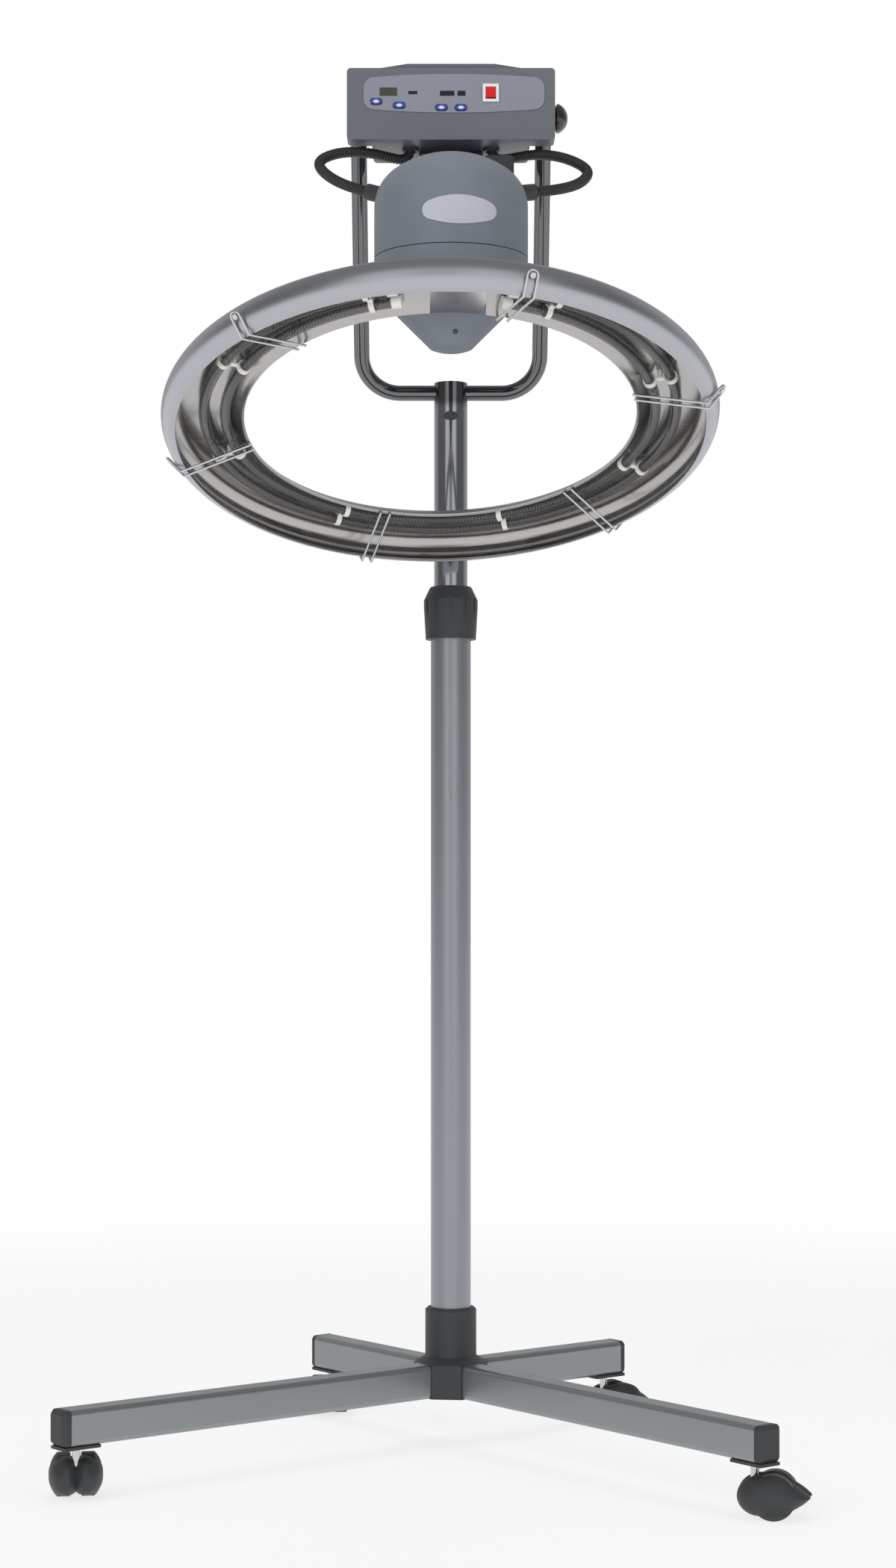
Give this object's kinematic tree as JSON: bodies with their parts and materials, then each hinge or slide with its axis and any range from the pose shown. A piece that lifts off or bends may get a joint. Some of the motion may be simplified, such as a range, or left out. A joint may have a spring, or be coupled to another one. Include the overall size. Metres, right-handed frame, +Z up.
{
  "type": "hair colour processor",
  "caption": "Free-standing hair processor: castor base, telescopic mast, fork with tilting control box and motor head, orbiting infrared ring.",
  "frame": {"origin": "on the floor under the mast's axis", "axes": "+Z up, -Y towards the side that the control panel and the ring face, +X to the viewer's right"},
  "size_m": [0.7287, 0.775, 1.4084],
  "materials": {
    "black_plastic": "moulded, fine satin texture",
    "wheel_rubber": "moulded nylon, scuffed",
    "nylon": "moulded nylon",
    "leg_silver": "satin silver lacquer over brushed tube",
    "mast_silver": "satin silver",
    "chrome_tube": "polished chrome",
    "casing_grey": "painted, fine grain",
    "head_grey": "painted, slight metallic sheen",
    "arm_grey": "painted",
    "overlay_lilac": "satin printed film",
    "display_dark": "smoked window",
    "key_blue": "blue ring with a pale centre",
    "bezel_white": "gloss",
    "rocker_red": "gloss",
    "knob_black": "gloss bakelite",
    "badge_pale": "bare satin plate",
    "board_green": "circuit laminate",
    "motor_steel": "cast gear case",
    "screw_steel": "bright steel",
    "conduit_black": "corrugated conduit",
    "ring_satin": "satin spun aluminium",
    "reflector_bright": "polished",
    "neck_bright": "polished",
    "quartz": "quartz tube with a dark filament",
    "ceramic_white": "unglazed"
  },
  "bodies": {
    "base": {"base_hub": "black_plastic", "leg_front_left": "leg_silver", "leg_front_right": "leg_silver", "leg_back_right": "leg_silver", "leg_back_left": "leg_silver", "leg_end_caps": "black_plastic", "castor_bushes": "nylon", "mast_outer_tube": "mast_silver", "mast_top_bush": "nylon"},
    "collar": {"mast_collar": "black_plastic"},
    "mast_carriage": {"mast_guide_bush": "nylon"},
    "upper_mast": {"mast_inner_tube": "chrome_tube", "fork_frame": "chrome_tube"},
    "snap": {"snap_button": "black_plastic"},
    "head": {"box_fascia": "casing_grey", "box_rear_shell": "casing_grey", "control_overlay": "overlay_lilac", "display_windows": "display_dark", "circuit_board": "board_green", "rocker_bezel": "bezel_white", "power_inlet": "black_plastic", "rear_screws": "screw_steel", "housing_dome": "head_grey", "gear_motor": "motor_steel", "head_arm": "arm_grey", "arm_bracket": "black_plastic", "housing_badge": "badge_pale", "conduit_left": "conduit_black", "conduit_right": "conduit_black", "conduit_glands": "black_plastic", "pivot_bolts": "screw_steel"},
    "knob": {"clamp_knob": "knob_black"},
    "rocker": {"power_rocker": "rocker_red"},
    "orbiter": {"ring_shell": "ring_satin", "ring_reflector": "reflector_bright", "rotor_shell": "head_grey", "ring_neck": "neck_bright", "quartz_lamps": "quartz", "lamp_clips": "ceramic_white", "guard_wires": "screw_steel"},
    "key_power": {"button_power": "key_blue"},
    "key_mode": {"button_mode": "key_blue"},
    "key_minus": {"button_minus": "key_blue"},
    "key_plus": {"button_plus": "key_blue"},
    "castor_front_left": {"castor_hood_front_left": "black_plastic", "castor_pins_front_left": "screw_steel"},
    "wheel_a_front_left": {"castor_wheel_a_front_left": "wheel_rubber"},
    "wheel_b_front_left": {"castor_wheel_b_front_left": "wheel_rubber"},
    "castor_front_right": {"castor_hood_front_right": "black_plastic", "castor_pins_front_right": "screw_steel"},
    "wheel_a_front_right": {"castor_wheel_a_front_right": "wheel_rubber"},
    "wheel_b_front_right": {"castor_wheel_b_front_right": "wheel_rubber"},
    "castor_back_right": {"castor_hood_back_right": "black_plastic", "castor_pins_back_right": "screw_steel"},
    "wheel_a_back_right": {"castor_wheel_a_back_right": "wheel_rubber"},
    "wheel_b_back_right": {"castor_wheel_b_back_right": "wheel_rubber"},
    "castor_back_left": {"castor_hood_back_left": "black_plastic", "castor_pins_back_left": "screw_steel"},
    "wheel_a_back_left": {"castor_wheel_a_back_left": "wheel_rubber"},
    "wheel_b_back_left": {"castor_wheel_b_back_left": "wheel_rubber"}
  },
  "joints": [
    {"name": "collar_turn", "type": "hinge", "parent": "base", "child": "collar", "pos_m": [0, 0, 0.87], "axis": [0, 0, 1], "range_deg": [0, 120]},
    {"name": "mast_lift", "type": "slide", "parent": "base", "child": "mast_carriage", "axis": [0, 0, 1], "range_m": [-0.15, 0.3]},
    {"name": "mast_swivel", "type": "hinge", "parent": "mast_carriage", "child": "upper_mast", "pos_m": [0, 0, 0.49], "axis": [0, 0, 1], "continuous": true},
    {"name": "snap_press", "type": "slide", "parent": "upper_mast", "child": "snap", "axis": [0, 1, 0], "range_m": [0, 0.004], "stiffness_N_per_m": 600},
    {"name": "head_tilt", "type": "hinge", "parent": "upper_mast", "child": "head", "pos_m": [0, -0.13392, 1.35735], "axis": [-1, 0, 0], "range_deg": [0, 35]},
    {"name": "knob_turn", "type": "hinge", "parent": "head", "child": "knob", "pos_m": [0.105, -0.13392, 1.35735], "axis": [1, 0, 0], "range_deg": [0, 270]},
    {"name": "rocker_tip", "type": "hinge", "parent": "head", "child": "rocker", "pos_m": [0.0396, -0.17432, 1.37145], "axis": [1, 0, 0], "range_deg": [0, 16]},
    {"name": "ring_orbit", "type": "hinge", "parent": "head", "child": "orbiter", "pos_m": [0, -0.29992, 1.12175], "axis": [0, 0, 1], "continuous": true},
    {"name": "press_power", "type": "slide", "parent": "head", "child": "key_power", "axis": [0, 1, 0], "range_m": [0, 0.001], "stiffness_N_per_m": 900},
    {"name": "press_mode", "type": "slide", "parent": "head", "child": "key_mode", "axis": [0, 1, 0], "range_m": [0, 0.001], "stiffness_N_per_m": 900},
    {"name": "press_minus", "type": "slide", "parent": "head", "child": "key_minus", "axis": [0, 1, 0], "range_m": [0, 0.001], "stiffness_N_per_m": 900},
    {"name": "press_plus", "type": "slide", "parent": "head", "child": "key_plus", "axis": [0, 1, 0], "range_m": [0, 0.001], "stiffness_N_per_m": 900},
    {"name": "swivel_front_left", "type": "hinge", "parent": "base", "child": "castor_front_left", "pos_m": [-0.35639, -0.28045, 0.05], "axis": [0, 0, 1], "continuous": true},
    {"name": "roll_a_front_left", "type": "hinge", "parent": "castor_front_left", "child": "wheel_a_front_left", "pos_m": [-0.35889, -0.26262, 0.021], "axis": [-0.9903, -0.1392, 0], "continuous": true},
    {"name": "roll_b_front_left", "type": "hinge", "parent": "castor_front_left", "child": "wheel_b_front_left", "pos_m": [-0.35889, -0.26262, 0.021], "axis": [-0.9903, -0.1392, 0], "continuous": true},
    {"name": "swivel_front_right", "type": "hinge", "parent": "base", "child": "castor_front_right", "pos_m": [0.28045, -0.35639, 0.05], "axis": [0, 0, 1], "continuous": true},
    {"name": "roll_a_front_right", "type": "hinge", "parent": "castor_front_right", "child": "wheel_a_front_right", "pos_m": [0.29806, -0.36013, 0.021], "axis": [0.2079, 0.9781, 0], "continuous": true},
    {"name": "roll_b_front_right", "type": "hinge", "parent": "castor_front_right", "child": "wheel_b_front_right", "pos_m": [0.29806, -0.36013, 0.021], "axis": [0.2079, 0.9781, 0], "continuous": true},
    {"name": "swivel_back_right", "type": "hinge", "parent": "base", "child": "castor_back_right", "pos_m": [0.16739, 0.13172, 0.05], "axis": [0, 0, 1], "continuous": true},
    {"name": "roll_a_back_right", "type": "hinge", "parent": "castor_back_right", "child": "wheel_a_back_right", "pos_m": [0.1837, 0.13933, 0.021], "axis": [-0.4226, 0.9063, 0], "continuous": true},
    {"name": "roll_b_back_right", "type": "hinge", "parent": "castor_back_right", "child": "wheel_b_back_right", "pos_m": [0.1837, 0.13933, 0.021], "axis": [-0.4226, 0.9063, 0], "continuous": true},
    {"name": "swivel_back_left", "type": "hinge", "parent": "base", "child": "castor_back_left", "pos_m": [-0.13172, 0.16739, 0.05], "axis": [0, 0, 1], "continuous": true},
    {"name": "roll_a_back_left", "type": "hinge", "parent": "castor_back_left", "child": "wheel_a_back_left", "pos_m": [-0.13485, 0.18511, 0.021], "axis": [-0.9848, -0.1736, 0], "continuous": true},
    {"name": "roll_b_back_left", "type": "hinge", "parent": "castor_back_left", "child": "wheel_b_back_left", "pos_m": [-0.13485, 0.18511, 0.021], "axis": [-0.9848, -0.1736, 0], "continuous": true}
  ]
}
